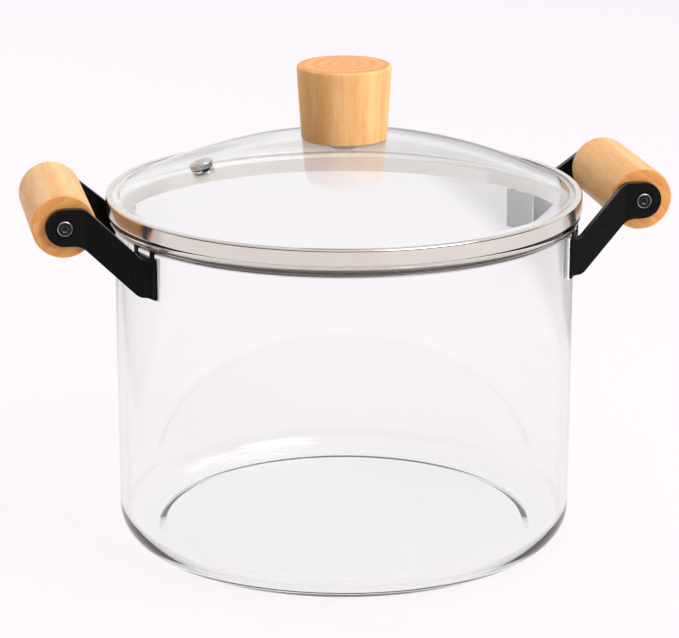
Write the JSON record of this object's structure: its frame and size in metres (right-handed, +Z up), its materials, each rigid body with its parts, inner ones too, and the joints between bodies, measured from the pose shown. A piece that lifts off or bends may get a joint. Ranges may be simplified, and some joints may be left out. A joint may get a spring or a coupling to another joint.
{
  "type": "lidded glass saucepan",
  "caption": "Clear glass saucepan with a rolled rim, wooden side grips on black arms, and a domed glass lid with a steel rim, steam vent and wooden knob.",
  "frame": {"origin": "on the pot's axis, on the surface that the pot stands on", "axes": "+Z up along the pot's axis, +X towards the right-hand handle, grips along Y, front of the pot towards -Y"},
  "size_m": [0.2772, 0.2068, 0.2095],
  "materials": {
    "pot_glass": "clear borosilicate glass, fire-polished",
    "lid_glass": "clear tempered glass, polished",
    "rim_steel": "polished stainless steel with a fine spun grain",
    "steel_wire": "bright drawn stainless wire",
    "eyelet_steel": "satin stainless steel",
    "fastener_steel": "plain stainless steel",
    "brass": "turned brass",
    "grip_wood": "oiled beech, fine straight grain along the grip",
    "knob_wood": "oiled beech, fine upright grain",
    "arm_black": "black fine-textured stoved paint on steel",
    "bolt_black": "blackened steel, bevel worn bright",
    "silicone": "matt heatproof silicone",
    "clear_silicone": "milky translucent heatproof silicone"
  },
  "bodies": {
    "pot": {"pot_glass": "pot_glass", "neck_hoop": "steel_wire", "left_grip": "grip_wood", "left_front_arm": "arm_black", "left_rear_arm": "arm_black", "left_grip_bolt": "bolt_black", "left_sleeve_nut": "bolt_black", "left_front_foot_plate": "arm_black", "left_rear_foot_plate": "arm_black", "left_front_foot_pad": "clear_silicone", "left_rear_foot_pad": "clear_silicone", "right_grip": "grip_wood", "right_front_arm": "arm_black", "right_rear_arm": "arm_black", "right_grip_bolt": "bolt_black", "right_sleeve_nut": "bolt_black", "right_front_foot_plate": "arm_black", "right_rear_foot_plate": "arm_black", "right_front_foot_pad": "clear_silicone", "right_rear_foot_pad": "clear_silicone"},
    "lid": {"lid_glass": "lid_glass", "lid_rim": "rim_steel", "lid_rim_seal": "clear_silicone", "vent_eyelet": "eyelet_steel", "vent_washer": "silicone", "knob": "knob_wood", "knob_insert": "brass", "knob_screw": "fastener_steel", "knob_washer": "fastener_steel", "knob_top_seal": "silicone", "knob_under_seal": "silicone"}
  },
  "joints": [
    {"name": "lid_lift", "type": "slide", "parent": "pot", "child": "lid", "axis": [0, 0, 1], "range_m": [0, 0.12]}
  ]
}
